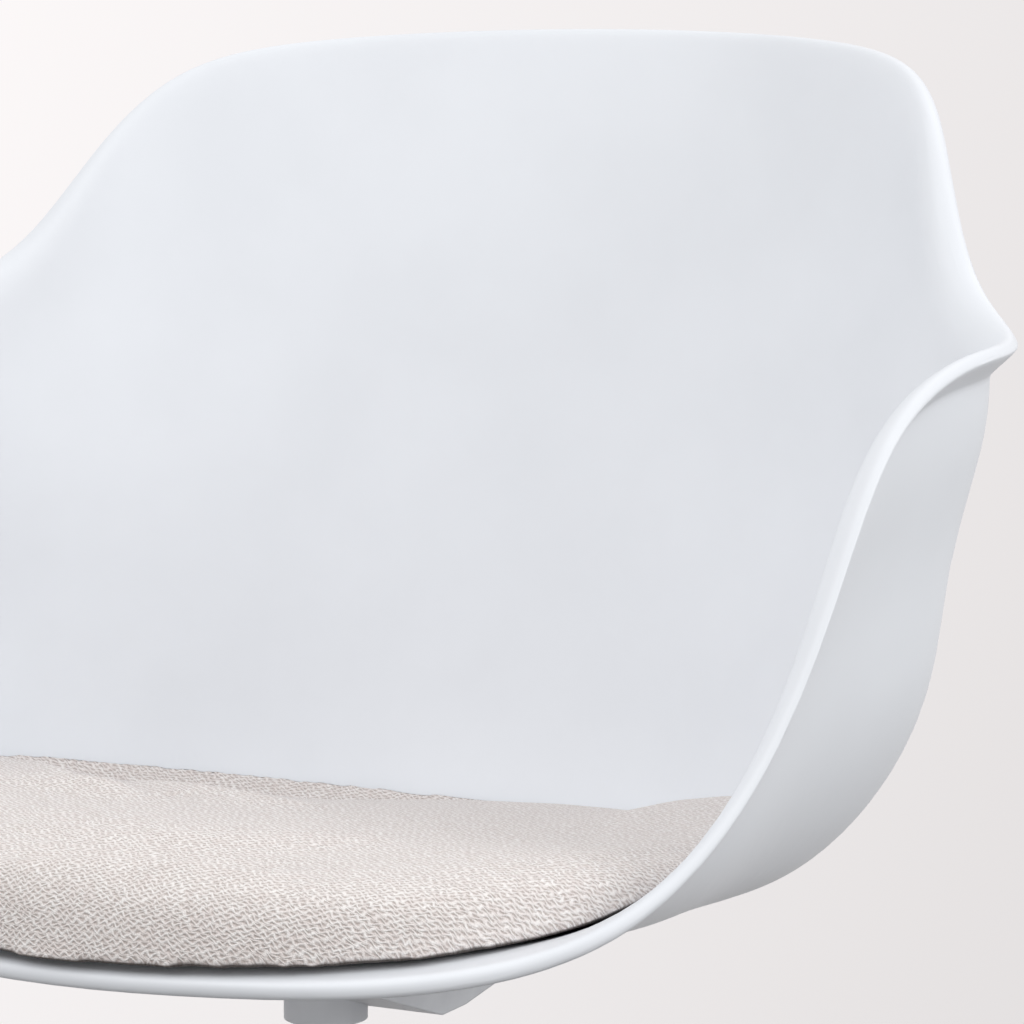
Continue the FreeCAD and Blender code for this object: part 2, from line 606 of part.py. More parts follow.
def mechanism_housing():
    top, bottom = housing_outline()
    body = prism_yz(top + bottom, HOUSING_HALF_WIDTH)
    open_top = PIVOT.z + plate_gap_at_pivot() + HOUSING_WALL
    rear, front = HOUSING_REAR - HOUSING_WALL, -HOUSING_FRONT + FRONT_BLOCK
    inside = [(front, open_top), (rear, open_top), (rear, housing_floor(rear)),
              (HOUSING_KEEL, housing_floor(HOUSING_KEEL)),
              (HOUSING_KEEL_FRONT, housing_floor(HOUSING_KEEL_FRONT)),
              (front, housing_floor(front))]
    body = body.cut(prism_yz(inside, HOUSING_HALF_WIDTH - HOUSING_WALL))
    for sx in (-1, 1):
        foot = V(sx * SPRING_X, SPRING_Y, housing_floor(SPRING_Y) - HOUSING_WALL)
        ledge = rod(spring_reach(), spring_seat() - foot.z, foot)
        body = body.fuse(ledge.common(prism_yz(top + bottom, HOUSING_HALF_WIDTH)))
        body = body.fuse(rod(SPRING_POST, spring_seat() + SPRING_POST_HEIGHT - foot.z, foot))
    lug_top = FULCRUM_Z + 2 * LEVER_PIN_RADIUS
    for side in (-1, 1):
        y = side * (LEVER_WIDTH / 2 + REST_GAP + LUG_THICKNESS / 2)
        lug_foot = housing_floor(y) - HOUSING_WALL / 2
        body = body.fuse(box(-LEVER_FULCRUM - 2 * LEVER_PIN_RADIUS, -LEVER_FULCRUM + 2 * LEVER_PIN_RADIUS,
                             y - LUG_THICKNESS / 2, y + LUG_THICKNESS / 2, lug_foot, lug_top))
    boss_radius = CYLINDER_RADIUS + CONE_BOSS_WALL
    body = body.fuse(rod(boss_radius, CONE_LENGTH, V(0, 0, CONE_BOTTOM)))
    body = body.cut(taper(SEAT_FIT, CONE_BOTTOM, CONE_TOP))
    wall_bore = AXLE_RADIUS + BUSH_WALL
    body = body.cut(rod(wall_bore, 2 * HOUSING_HALF_WIDTH, PIVOT - V(HOUSING_HALF_WIDTH, 0, 0), X_AXIS))
    slot = LEVER_WIDTH / 2 + REST_GAP
    swing = (LEVER_KNEE - LEVER_FULCRUM + LEVER_THICKNESS) * tan(radians(LEVER_RISE))
    body = body.cut(box(-HOUSING_HALF_WIDTH - 1, -HOUSING_HALF_WIDTH + HOUSING_WALL + 1, -slot, slot,
                        FULCRUM_Z - LEVER_THICKNESS - swing, open_top))
    pin_reach = slot + LUG_THICKNESS
    pin_start = V(-LEVER_FULCRUM, -pin_reach, FULCRUM_Z)
    body = body.cut(rod(LEVER_PIN_RADIUS + SEAT_FIT, 2 * pin_reach, pin_start, Y_AXIS))
    return body.removeSplitter()


def tilt_springs():
    """Coil springs on the posts at the rear of the housing, under the seat plate."""
    start = spring_seat() + SPRING_WIRE + REST_GAP
    under = SEAT.multVec(V(0, SPRING_Y + SPRING_RADIUS + SPRING_WIRE, PLATE_BOTTOM)).z
    height = under - REST_GAP - SPRING_WIRE - start
    helix = Part.makeHelix(height / SPRING_TURNS, height, SPRING_RADIUS)
    section = Part.Wire(Part.makeCircle(SPRING_WIRE, V(SPRING_RADIUS, 0, 0), Y_AXIS))
    coil = Part.Wire(helix).makePipeShell([section], True, True)
    made = []
    for sx in (-1, 1):
        spring = coil.copy()
        spring.translate(V(sx * SPRING_X, SPRING_Y, start))
        made.append(spring)
    return made


# Height lever
def bar_outline(middle, thickness):
    """Side outline of a bent flat bar about its middle line of (x, z) points, with mitred corners."""
    upper, lower = [], []
    for i, (x, z) in enumerate(middle):
        x0, z0 = middle[max(i - 1, 0)]
        x1, z1 = middle[min(i + 1, len(middle) - 1)]
        before = atan2(z - z0, x - x0) if i else atan2(z1 - z, x1 - x)
        after = atan2(z1 - z, x1 - x) if i < len(middle) - 1 else before
        mean, half = (before + after) / 2, (after - before) / 2
        reach = thickness / 2 / cos(half)
        upper.append((x - reach * sin(mean), z + reach * cos(mean)))
        lower.append((x + reach * sin(mean), z - reach * cos(mean)))
    return upper + lower[::-1]


def lever_bar(thickness, width, middle):
    outline = [V(x, -width / 2, z) for x, z in bar_outline(middle, thickness)]
    return Part.Face(Part.makePolygon(outline + outline[:1])).extrude(V(0, width, 0))


def lever_line():
    outer = FULCRUM_Z - LEVER_DROP
    return [(-LEVER_TIP, outer), (-LEVER_ELBOW, outer), (-LEVER_KNEE, FULCRUM_Z), (LEVER_NOSE, FULCRUM_Z)]


def lever_arm():
    bar = lever_bar(LEVER_THICKNESS, LEVER_WIDTH, lever_line())
    eye = rod(2 * LEVER_PIN_RADIUS, LEVER_WIDTH, V(-LEVER_FULCRUM, -LEVER_WIDTH / 2, FULCRUM_Z), Y_AXIS)
    bore = rod(LEVER_PIN_RADIUS + RUN, LEVER_WIDTH, V(-LEVER_FULCRUM, -LEVER_WIDTH / 2, FULCRUM_Z), Y_AXIS)
    return bar.fuse(eye).cut(bore).removeSplitter()


def lever_pin():
    half = LEVER_WIDTH / 2 + REST_GAP + LUG_THICKNESS
    return rod(LEVER_PIN_RADIUS, 2 * half, V(-LEVER_FULCRUM, -half, FULCRUM_Z), Y_AXIS)


def lever_handle():
    z = FULCRUM_Z - LEVER_DROP
    inner = -LEVER_TIP + HANDLE_GRIP
    grip = box(inner - HANDLE_LENGTH, inner, -HANDLE_WIDTH / 2, HANDLE_WIDTH / 2,
               z - HANDLE_THICKNESS / 2, z + HANDLE_THICKNESS / 2)
    upright = [e for e in grip.Edges if abs(e.tangentAt(e.FirstParameter).z) > 0.9]
    grip = grip.makeFillet(HANDLE_WIDTH * 0.4, upright)
    rims = [e for e in grip.Edges if e.BoundBox.ZLength < 1e-6]
    grip = grip.makeFillet(HANDLE_THICKNESS * 0.4, rims)
    pocket = lever_bar(LEVER_THICKNESS + 2 * SEAT_FIT, LEVER_WIDTH + 2 * SEAT_FIT,
                       [(-LEVER_TIP - SEAT_FIT, z), (inner + 1, z)])
    return grip.cut(pocket)


# Gas column
def taper(extra, bottom, top):
    """The column's upper taper, larger by extra."""
    low, high = CYLINDER_RADIUS + extra, CYLINDER_RADIUS - CONE_TAPER + extra
    return Part.makeCone(low, high, top - bottom, V(0, 0, bottom))


def gas_cylinder():
    r, bore = CYLINDER_RADIUS, CYLINDER_RADIUS - CYLINDER_WALL
    neck = r - CONE_TAPER
    cap = CYLINDER_TOP - CYLINDER_CAP
    body = spun([(bore, CYLINDER_BOTTOM), (r, CYLINDER_BOTTOM), (r, CONE_BOTTOM), (neck, CONE_TOP),
                 (neck, CYLINDER_TOP), (VALVE_RADIUS + RUN, CYLINDER_TOP), (VALVE_RADIUS + RUN, cap),
                 (neck - CYLINDER_WALL, cap), (bore, CONE_BOTTOM)])
    return body


def valve_pin():
    pin = rod(VALVE_RADIUS, VALVE_LENGTH, V(0, 0, VALVE_TOP - VALVE_LENGTH))
    rim = [e for e in pin.Edges if e.BoundBox.ZMin > VALVE_TOP - VALVE_LENGTH / 2]
    return pin.makeFillet(VALVE_RADIUS / 4, rim)


def rod_guide():
    return ring(CYLINDER_RADIUS - CYLINDER_WALL - SEAT_FIT, ROD_RADIUS + RUN, GUIDE_LENGTH, CYLINDER_BOTTOM)


def piston_rod():
    bottom = TUBE_BOTTOM - ROD_TAIL
    shaft = rod(ROD_RADIUS, ROD_TOP - bottom, V(0, 0, bottom))
    groove = TUBE_BOTTOM - REST_GAP - CLIP_THICKNESS
    return shaft.cut(ring(ROD_RADIUS + 1, ROD_RADIUS - CLIP_GROOVE, CLIP_THICKNESS, groove))


def piston():
    outer = CYLINDER_RADIUS - CYLINDER_WALL - RUN
    return ring(outer, ROD_RADIUS + SEAT_FIT, PISTON_LENGTH, ROD_TOP - PISTON_LENGTH)


def rod_clip():
    bottom = TUBE_BOTTOM - REST_GAP - CLIP_THICKNESS + RUN
    clip = ring(ROD_CLIP_RADIUS, ROD_RADIUS - CLIP_GROOVE + SEAT_FIT, CLIP_THICKNESS - 2 * RUN, bottom)
    mouth = ROD_RADIUS / 2
    return clip.cut(box(-mouth, mouth, -ROD_CLIP_RADIUS, 0, bottom, bottom + CLIP_THICKNESS))


def bearing_race():
    """Lower bearing washer and its ring of balls, standing on the tube's floor."""
    washer = ring(RACE_RADIUS, ROD_RADIUS + REST_GAP, RACE_THICKNESS, RACE_BOTTOM)
    circle = (RACE_RADIUS + ROD_RADIUS) / 2
    balls = []
    for i in range(BALL_COUNT):
        a = 2 * pi * i / BALL_COUNT
        balls.append(Part.makeSphere(BALL_RADIUS, V(circle * cos(a), circle * sin(a), BALL_CENTRE)))
    return [washer] + balls


def bearing_washer():
    return ring(RACE_RADIUS, ROD_RADIUS + SEAT_FIT, RACE_THICKNESS, WASHER_BOTTOM)


def stop_buffer():
    return ring(BUFFER_RING_RADIUS, ROD_RADIUS + SEAT_FIT, BUFFER_RING_HEIGHT, RING_BOTTOM)


def column_tube():
    r, bore = TUBE_RADIUS, TUBE_RADIUS - TUBE_WALL
    floor = TUBE_BOTTOM + TUBE_FLOOR
    hole = ROD_RADIUS + REST_GAP
    return spun([(hole, TUBE_BOTTOM), (r - TUBE_TAPER, TUBE_BOTTOM), (r, HUB_TOP), (r, TUBE_TOP),
                 (bore, TUBE_TOP), (bore, floor), (hole, floor)])


def column_bush():
    sleeve, bore = TUBE_RADIUS - TUBE_WALL - SEAT_FIT, CYLINDER_RADIUS + RUN
    collar = TUBE_RADIUS
    low, high = TUBE_TOP - BUSH_LENGTH, TUBE_TOP + BUSH_COLLAR
    return spun([(bore, low), (sleeve, low), (sleeve, TUBE_TOP + SEAT_FIT), (collar, TUBE_TOP + SEAT_FIT),
                 (collar - BUSH_COLLAR / 2, high), (bore, high)])


# Five-arm base
def arm_section(x, half_width, bottom, top, edge):
    """Arm cross-section at distance x: flat underside, rounded upper edges."""
    left, right = -half_width, half_width
    k = edge * (1 - cos(pi / 4))
    edges = [
        Part.LineSegment(V(x, left, bottom), V(x, right, bottom)),
        Part.LineSegment(V(x, right, bottom), V(x, right, top - edge)),
        Part.Arc(V(x, right, top - edge), V(x, right - k, top - k), V(x, right - edge, top)),
        Part.LineSegment(V(x, right - edge, top), V(x, left + edge, top)),
        Part.Arc(V(x, left + edge, top), V(x, left + k, top - k), V(x, left, top - edge)),
        Part.LineSegment(V(x, left, top - edge), V(x, left, bottom)),
    ]
    return Part.Wire([e.toShape() for e in edges])


def base_arm():
    """One hollow arm along +X, from the hub to its castor socket."""
    root, tip = HUB_RADIUS * 0.6, BASE_RADIUS
    slope = (ARM_ROOT_TOP - ARM_TIP_TOP) / (tip - root)
    narrow = (ARM_ROOT_WIDTH - ARM_TIP_WIDTH) / 2 / (tip - root)
    rise = (ARM_ROOT_BOTTOM - CASTOR_HEIGHT) / (tip - root)

    def section(x, inset):
        s = x - root
        bottom = ARM_ROOT_BOTTOM - rise * s
        drop = ARM_WALL if inset else 0.0
        return arm_section(x, ARM_ROOT_WIDTH / 2 - narrow * s - inset, bottom - drop,
                           ARM_ROOT_TOP - slope * s - inset, ARM_EDGE - inset)

    arm = Part.makeLoft([section(root, 0.0), section(tip, 0.0)], True, True)
    ends = (HUB_RADIUS + ARM_WALL, tip - SOCKET_RADIUS - ARM_WALL)
    hollow = Part.makeLoft([section(x, ARM_WALL) for x in ends], True, True)
    socket = rod(SOCKET_RADIUS, ARM_TIP_TOP - CASTOR_HEIGHT, V(tip, 0, CASTOR_HEIGHT))
    rim = [e for e in socket.Edges if e.BoundBox.ZMin > CASTOR_HEIGHT + 1 and e.BoundBox.ZLength < 1e-6]
    socket = socket.makeFillet(ARM_EDGE / 2, rim)
    return arm.cut(hollow).fuse(socket)


def arm_angles():
    return [FIRST_ARM + 360.0 * i / ARM_COUNT for i in range(ARM_COUNT)]


def star_base():
    hub = rod(HUB_RADIUS, HUB_TOP - HUB_BOTTOM, V(0, 0, HUB_BOTTOM))
    rim = [e for e in hub.Edges if e.BoundBox.ZMin > HUB_TOP - 1]
    hub = hub.makeFillet(ARM_EDGE / 3, rim)
    arm = base_arm()
    base = hub
    for a in arm_angles():
        base = base.fuse(around(arm, a))
    seat = Part.makeCone(TUBE_RADIUS - TUBE_TAPER + SEAT_FIT, TUBE_RADIUS + SEAT_FIT, HUB_TOP - TUBE_BOTTOM,
                         V(0, 0, TUBE_BOTTOM))
    base = base.cut(seat)
    base = base.cut(rod(ROD_CLIP_RADIUS + ARM_WALL, TUBE_BOTTOM - HUB_BOTTOM, V(0, 0, HUB_BOTTOM)))
    for a in arm_angles():
        spot = V(BASE_RADIUS * cos(radians(a)), BASE_RADIUS * sin(radians(a)), CASTOR_HEIGHT)
        base = base.cut(rod(STEM_RADIUS + RUN, STEM_LENGTH - REST_GAP, spot))
    return base.removeSplitter()


# Castors, made with the stem on the Z axis and trailing along +X
def castor_body():
    axle = V(CASTOR_TRAIL, 0, WHEEL_RADIUS)
    outer = WHEEL_RADIUS + HOOD_GAP + HOOD_WALL
    half = WHEEL_INNER + WHEEL_WIDTH - WHEEL_EDGE / 2
    hood = rod(outer, 2 * half, axle - V(0, half, 0), Y_AXIS)
    hood = hood.cut(rod(WHEEL_RADIUS + HOOD_GAP, 2 * half, axle - V(0, half, 0), Y_AXIS))
    low = WHEEL_RADIUS + HOOD_DROP
    hood = hood.common(box(axle.x - outer, axle.x + outer, -half, half, low, low + outer))
    web = rod(WHEEL_RADIUS + HOOD_GAP + HOOD_WALL / 2, CASTOR_WEB, axle - V(0, CASTOR_WEB / 2, 0), Y_AXIS)
    web = web.common(box(axle.x - outer, axle.x + outer, -half, half, WHEEL_RADIUS / 2, low + outer))
    neck = rod(NECK_RADIUS, CASTOR_HEIGHT - REST_GAP - low, V(0, 0, low))
    wheel_room = rod(WHEEL_RADIUS + HOOD_GAP, 2 * half, axle - V(0, half, 0), Y_AXIS)
    body = hood.fuse(neck.cut(wheel_room)).fuse(web)
    body = body.cut(rod(STEM_RADIUS + SEAT_FIT, stem_seat(), V(0, 0, CASTOR_HEIGHT - stem_seat())))
    body = body.cut(rod(WHEEL_AXLE_RADIUS + SEAT_FIT, CASTOR_WEB, axle - V(0, CASTOR_WEB / 2, 0), Y_AXIS))
    return body.removeSplitter()


def stem_seat():
    """Length of the stem held in the castor body, above the room for the wheels."""
    room = WHEEL_RADIUS + HOOD_GAP
    foot = WHEEL_RADIUS + (room ** 2 - (CASTOR_TRAIL - STEM_RADIUS) ** 2) ** 0.5
    return CASTOR_HEIGHT - foot - STEM_FLOOR


def castor_stem():
    length = stem_seat() + STEM_LENGTH - 2 * REST_GAP
    stem = rod(STEM_RADIUS, length, V(0, 0, CASTOR_HEIGHT - stem_seat()))
    top = [e for e in stem.Edges if e.BoundBox.ZMin > CASTOR_HEIGHT]
    return stem.makeChamfer(STEM_RADIUS / 4, top)


def castor_axle():
    half = WHEEL_INNER + WHEEL_WIDTH - WHEEL_DISH - 2 * REST_GAP - WHEEL_AXLE_RADIUS / 2
    return rod(WHEEL_AXLE_RADIUS, 2 * half, V(CASTOR_TRAIL, -half, WHEEL_RADIUS), Y_AXIS)


def castor_wheel(side):
    """A wheel with a rounded tread, a dished outer face and a blind bore for the axle."""
    inner, outer = WHEEL_INNER, WHEEL_INNER + WHEEL_WIDTH
    r = WHEEL_RADIUS
    blind = outer - WHEEL_DISH - WHEEL_AXLE_RADIUS / 2
    profile = [(WHEEL_AXLE_RADIUS + RUN, inner), (r - WHEEL_EDGE, inner), (r, inner + WHEEL_EDGE / 2),
               (r, outer - WHEEL_EDGE), (r - WHEEL_EDGE / 2, outer - WHEEL_EDGE / 4),
               (r - WHEEL_EDGE, outer), (r - WHEEL_RIM, outer),
               (r - WHEEL_RIM - WHEEL_DISH, outer - WHEEL_DISH), (0.0, outer - WHEEL_DISH),
               (0.0, blind), (WHEEL_AXLE_RADIUS + RUN, blind)]
    wheel = spun(profile)
    wheel.rotate(V(0, 0, 0), X_AXIS, -90 * side)
    wheel.translate(V(CASTOR_TRAIL, 0, WHEEL_RADIUS))
    return wheel


def at_arm(shape, angle):
    placed = around(shape, angle + TRAIL_TURN)
    placed.translate(V(BASE_RADIUS * cos(radians(angle)), BASE_RADIUS * sin(radians(angle)), 0))
    return placed


def main():
    os.makedirs("parts", exist_ok=True)
    save("seat_shell", in_seat(seat_shell()))
    save("shell_inserts", *[in_seat(s) for s in shell_inserts()])
    save("plate_screws", *[in_seat(s) for s in plate_screws()])
    save("seat_cushion", in_seat(seat_cushion()))
    save("cushion_board", in_seat(cushion_board()))
    save("cushion_patches", *[in_seat(s) for s in cushion_patches()])
    save("seat_plate", in_seat(seat_plate()))
    save("tilt_buffers", *[in_seat(s) for s in tilt_buffers()])
    save("tilt_axle", tilt_axle())
    save("axle_clips", *axle_clips())
    save("axle_bushes", *axle_bushes())
    save("mechanism_housing", mechanism_housing())
    save("tilt_springs", *tilt_springs())
    save("lever_arm", lever_arm())
    save("lever_pin", lever_pin())
    save("lever_handle", lever_handle())
    save("gas_cylinder", gas_cylinder())
    save("valve_pin", valve_pin())
    save("rod_guide", rod_guide())
    save("piston_rod", piston_rod())
    save("piston", piston())
    save("rod_clip", rod_clip())
    save("bearing_race", *bearing_race())
    save("bearing_washer", bearing_washer())
    save("stop_buffer", stop_buffer())
    save("column_tube", column_tube())
    save("column_bush", column_bush())
    save("star_base", star_base())
    pieces = {"body": castor_body(), "stem": castor_stem(), "axle": castor_axle(),
              "wheel_left": castor_wheel(-1), "wheel_right": castor_wheel(1)}
    for i, angle in enumerate(arm_angles()):
        for piece, shape in pieces.items():
            save(f"castor_{i + 1}_{piece}", at_arm(shape, angle))


main()
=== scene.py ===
# %% [markdown]
# An office chair with a moulded bucket shell, a knitted seat pad and a wheeled star base.
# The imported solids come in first, as a fixed frame: every hard piece is already at its real size and place.
# They could be modelled again here, but then the picture and the motion would drift apart.
# So the solids stay, each gets its finish, and only the soft pad and the springs are made anew.

# %% Load the frame
import json
from math import cos, pi, radians, sin

import bpy
import numpy as np
from mathutils import Matrix, Vector
from mathutils.bvhtree import BVHTree


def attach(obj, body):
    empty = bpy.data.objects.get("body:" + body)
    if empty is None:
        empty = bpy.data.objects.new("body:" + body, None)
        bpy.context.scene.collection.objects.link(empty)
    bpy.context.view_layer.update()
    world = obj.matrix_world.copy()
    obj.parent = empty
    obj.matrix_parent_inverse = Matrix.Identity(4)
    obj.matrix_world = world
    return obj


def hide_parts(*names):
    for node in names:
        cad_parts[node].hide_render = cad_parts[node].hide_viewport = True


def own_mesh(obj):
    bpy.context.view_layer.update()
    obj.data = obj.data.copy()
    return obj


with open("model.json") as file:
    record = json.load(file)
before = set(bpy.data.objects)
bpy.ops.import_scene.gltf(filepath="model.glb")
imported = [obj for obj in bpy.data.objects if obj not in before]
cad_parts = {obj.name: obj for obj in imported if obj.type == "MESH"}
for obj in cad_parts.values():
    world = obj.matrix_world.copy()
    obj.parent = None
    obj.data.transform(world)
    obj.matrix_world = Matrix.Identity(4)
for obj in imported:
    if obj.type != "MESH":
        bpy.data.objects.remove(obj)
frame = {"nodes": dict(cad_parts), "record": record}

scene = bpy.context.scene
nodes = frame["nodes"]
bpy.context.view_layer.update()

# %% [markdown]
# The picture looks down a little on the seat from the front, from the sitter's left.
# The view is cut close round the shell, and the back has hardly any perspective.
# So a long lens stands well back.
# The lens is in millimetres on the usual 36 mm sensor, the place in metres, and the two angles in degrees.

# %% The camera
CAMERA_PLACE = (0.979, -1.7243, 0.8531)
CAMERA_ROUND = 26.9
CAMERA_DIP = 7.0
CAMERA_LENS = 142.66
CAMERA_SENSOR = 36.0

camera = bpy.data.objects.new("camera", bpy.data.cameras.new("camera"))
camera.data.lens = CAMERA_LENS
camera.data.sensor_width = CAMERA_SENSOR
camera.location = CAMERA_PLACE
camera.rotation_euler = (radians(90.0 - CAMERA_DIP), 0.0, radians(CAMERA_ROUND))
scene.collection.objects.link(camera)
scene.camera = camera
print("camera at", CAMERA_PLACE, "with a lens of", CAMERA_LENS, "mm")

# %% [markdown]
# Every finish is a small graph of shader nodes, so three short helpers keep the graphs readable.
# A node's input takes either a plain value or a socket of another node, and the helper sets or links it.
# Colours are written as a picture shows them, from 0 to 255.
# The last helper turns them into the linear values that light needs.

# %% Helpers for shader graphs
def add_node(tree, kind, inputs=None, **settings):
    """Adds a shader node, and sets or links its inputs."""
    made = tree.nodes.new("ShaderNode" + kind)
    for name, value in settings.items():
        setattr(made, name, value)
    for name, value in (inputs or {}).items():
        if isinstance(value, bpy.types.NodeSocket):
            tree.links.new(value, made.inputs[name])
        else:
            made.inputs[name].default_value = value
    return made


def sum_up(tree, operation, first, second=0.0):
    """One step of arithmetic; returns the answer's socket."""
    return add_node(tree, "Math", {0: first, 1: second}, operation=operation).outputs[0]


def linear(red, green, blue):
    """A display colour as linear light, with full alpha."""
    shares = [channel / 255.0 for channel in (red, green, blue)]
    return [s / 12.92 if s <= 0.04045 else ((s + 0.055) / 1.055) ** 2.4 for s in shares] + [1.0]


print("white as light:", linear(255, 255, 255))

# %% [markdown]
# The background is a plain pale sweep that falls off gently from the upper left to the lower right.
# A painted backdrop would have to follow every view, so the world's own colour does it, by direction.
# Only what the camera or a reflection sees gets that colour.
# The light itself is a soft sky that is dimmer from below.

# %% The world
scene.view_settings.view_transform = "Standard"
SWEEP_MIDDLE = 0.876
SWEEP_TO_RIGHT = -0.522
SWEEP_TO_TOP = 0.244
SWEEP_LIMITS = (0.74, 0.975)
SWEEP_TINT = (1.0, 0.967, 0.967)
SKY_ABOVE = 1.12
SKY_LEVEL = 1.0
SKY_BELOW = 0.06
SKY_DARK_FROM = -0.6

world = bpy.data.worlds.new("studio")
world.use_nodes = True
scene.world = world
sky = world.node_tree
sky.nodes.clear()
direction = add_node(sky, "TexCoord").outputs["Generated"]
turn = camera.rotation_euler.to_matrix()
slope = turn @ Vector((SWEEP_TO_RIGHT, SWEEP_TO_TOP, 0.0))
fall = add_node(sky, "VectorMath", {0: direction, 1: slope}, operation="DOT_PRODUCT").outputs["Value"]
level = add_node(sky, "Clamp", {"Value": sum_up(sky, "ADD", fall, SWEEP_MIDDLE),
                                "Min": SWEEP_LIMITS[0], "Max": SWEEP_LIMITS[1]}).outputs[0]
seen = add_node(sky, "Background", {"Color": (*SWEEP_TINT, 1.0), "Strength": level})
height = add_node(sky, "SeparateXYZ", {0: direction}).outputs["Z"]
upper = add_node(sky, "MapRange", {"Value": height, "From Min": 0.0, "From Max": 1.0,
                                   "To Min": SKY_LEVEL, "To Max": SKY_ABOVE}).outputs[0]
lower = add_node(sky, "MapRange", {"Value": height, "From Min": SKY_DARK_FROM, "From Max": 0.0,
                                   "To Min": SKY_BELOW, "To Max": SKY_LEVEL}).outputs[0]
above = sum_up(sky, "GREATER_THAN", height)
soft = add_node(sky, "Mix", {0: above, 2: lower, 3: upper}).outputs[0]
light = add_node(sky, "Background", {"Strength": soft})
path = add_node(sky, "LightPath")
in_view = sum_up(sky, "MAXIMUM", path.outputs["Is Camera Ray"], path.outputs["Is Glossy Ray"])
in_view = sum_up(sky, "MAXIMUM", in_view, path.outputs["Is Transmission Ray"])
mixed = add_node(sky, "MixShader", {0: in_view, 1: light.outputs[0], 2: seen.outputs[0]})
add_node(sky, "OutputWorld", {"Surface": mixed.outputs[0]})
print("world with", len(sky.nodes), "nodes")

# %% [markdown]
# The chair stands on a pale floor, which also throws some light up under the shell.
# A floor without an end would cut the sweep with a horizon, so this one is a disc that fades out at its edge.
# The fade is by distance from the chair's axis, and the shadow under the castors falls well inside it.
# To light that goes on to the chair the floor is darker, as a studio table is.
# That keeps the shell's underside in shade.

# %% The floor
FLOOR_RADIUS = 1.5
FLOOR_SOLID = 0.55
FLOOR_SIDES = 48
FLOOR_MOTTLE = 9.0
FLOOR_DULL = (232, 229, 228)
FLOOR_PALE = (238, 235, 234)
FLOOR_PASSED_ON = (105, 103, 102)

floor_paint = bpy.data.materials.new("pale_floor")
floor_paint.use_nodes = True
tree = floor_paint.node_tree
tree.nodes.clear()
place = add_node(tree, "TexCoord").outputs["Object"]
away = add_node(tree, "VectorMath", {0: place}, operation="LENGTH").outputs["Value"]
fade = add_node(tree, "MapRange", {"Value": away, "From Min": FLOOR_SOLID, "From Max": FLOOR_RADIUS},
                interpolation_type="SMOOTHSTEP").outputs[0]
mottle = add_node(tree, "TexNoise", {"Vector": place, "Scale": FLOOR_MOTTLE, "Detail": 3.0}).outputs["Fac"]
pale = add_node(tree, "Mix", {0: mottle, 6: linear(*FLOOR_DULL), 7: linear(*FLOOR_PALE)}, data_type="RGBA")
passed_on = add_node(tree, "LightPath").outputs["Is Diffuse Ray"]
dimmed = linear(*FLOOR_PASSED_ON)
tone = add_node(tree, "Mix", {0: passed_on, 6: pale.outputs[2], 7: dimmed}, data_type="RGBA")
matt = add_node(tree, "BsdfDiffuse", {"Color": tone.outputs[2]})
clear = add_node(tree, "BsdfTransparent")
faded = add_node(tree, "MixShader", {0: fade, 1: matt.outputs[0], 2: clear.outputs[0]})
add_node(tree, "OutputMaterial", {"Surface": faded.outputs[0]})

ring = [2.0 * pi * step / FLOOR_SIDES for step in range(FLOOR_SIDES)]
floor_mesh = bpy.data.meshes.new("floor")
floor_mesh.from_pydata([(FLOOR_RADIUS * cos(a), FLOOR_RADIUS * sin(a), 0.0) for a in ring], [],
                       [list(range(FLOOR_SIDES))])
floor_mesh.materials.append(floor_paint)
floor = bpy.data.objects.new("floor", floor_mesh)
scene.collection.objects.link(floor)
print("floor disc", 2.0 * FLOOR_RADIUS, "m across")

# %% [markdown]
# Two broad lamps shape the shell: one high in front, which opens up the bucket, and one beside the arm.
# Small lamps would draw hard edges, and a bare sky would leave the white shell without form.
# They are kept low in power, so that a colour comes out about as it is written.

# %% The lamps
LAMP_AIM = Vector((0.0, 0.0, 0.6))


def add_lamp(name, place, side, power):
    """A square lamp that faces the chair."""
    data = bpy.data.lights.new(name, "AREA")
    data.size = side
    data.energy = power
    lamp = bpy.data.objects.new(name, data)
    lamp.location = place
    lamp.rotation_euler = (LAMP_AIM - lamp.location).to_track_quat("-Z", "Y").to_euler()
    scene.collection.objects.link(lamp)
    print(name, "of", power, "W at", place)


add_lamp("front_lamp", (-1.3, -2.1, 3.0), 2.2, 30.0)
add_lamp("side_lamp", (2.5, -0.1, 1.6), 1.2, 24.0)

# %% [markdown]
# All the hard finishes are one idea: a colour that drifts a little, a gloss that drifts with it, and a grain.
# A flat colour would look like a toy, and a painted image would need a flat pattern for every piece.
# Noise in three dimensions needs neither, because it fills the space that the piece stands in.
# The sizes are real, in millimetres: the width of a cloud in the colour, and the grain's width and depth.

# %% A finish with drift and grain
MILLIMETRE = 0.001
GRAIN_SHINE = 0.03
EDGE_SAMPLES = 4


def per_metre(width):
    """How often a pattern of that width, in millimetres, repeats in a metre."""
    return 1.0 / (width * MILLIMETRE)


def new_finish(name, sockets):
    """An empty finish; what is the same all over sits on the shader's own sockets."""
    finish = bpy.data.materials.new(name)
    finish.use_nodes = True
    shader = finish.node_tree.nodes["Principled BSDF"]
    for socket, value in sockets.items():
        shader.inputs[socket].default_value = value
    return finish, finish.node_tree, shader


def stretched_place(tree, stretch):
    """The point's place on the object, squeezed so that a pattern runs long the other way."""
    place = add_node(tree, "TexCoord").outputs["Object"]
    return add_node(tree, "Mapping", {"Vector": place, "Scale": stretch}).outputs[0]


def cloud(tree, place, width, detail=3.0):
    """Noise between 0 and 1, with clouds about as wide as said."""
    inputs = {"Vector": place, "Scale": per_metre(width), "Detail": detail}
    return add_node(tree, "TexNoise", inputs).outputs["Fac"]


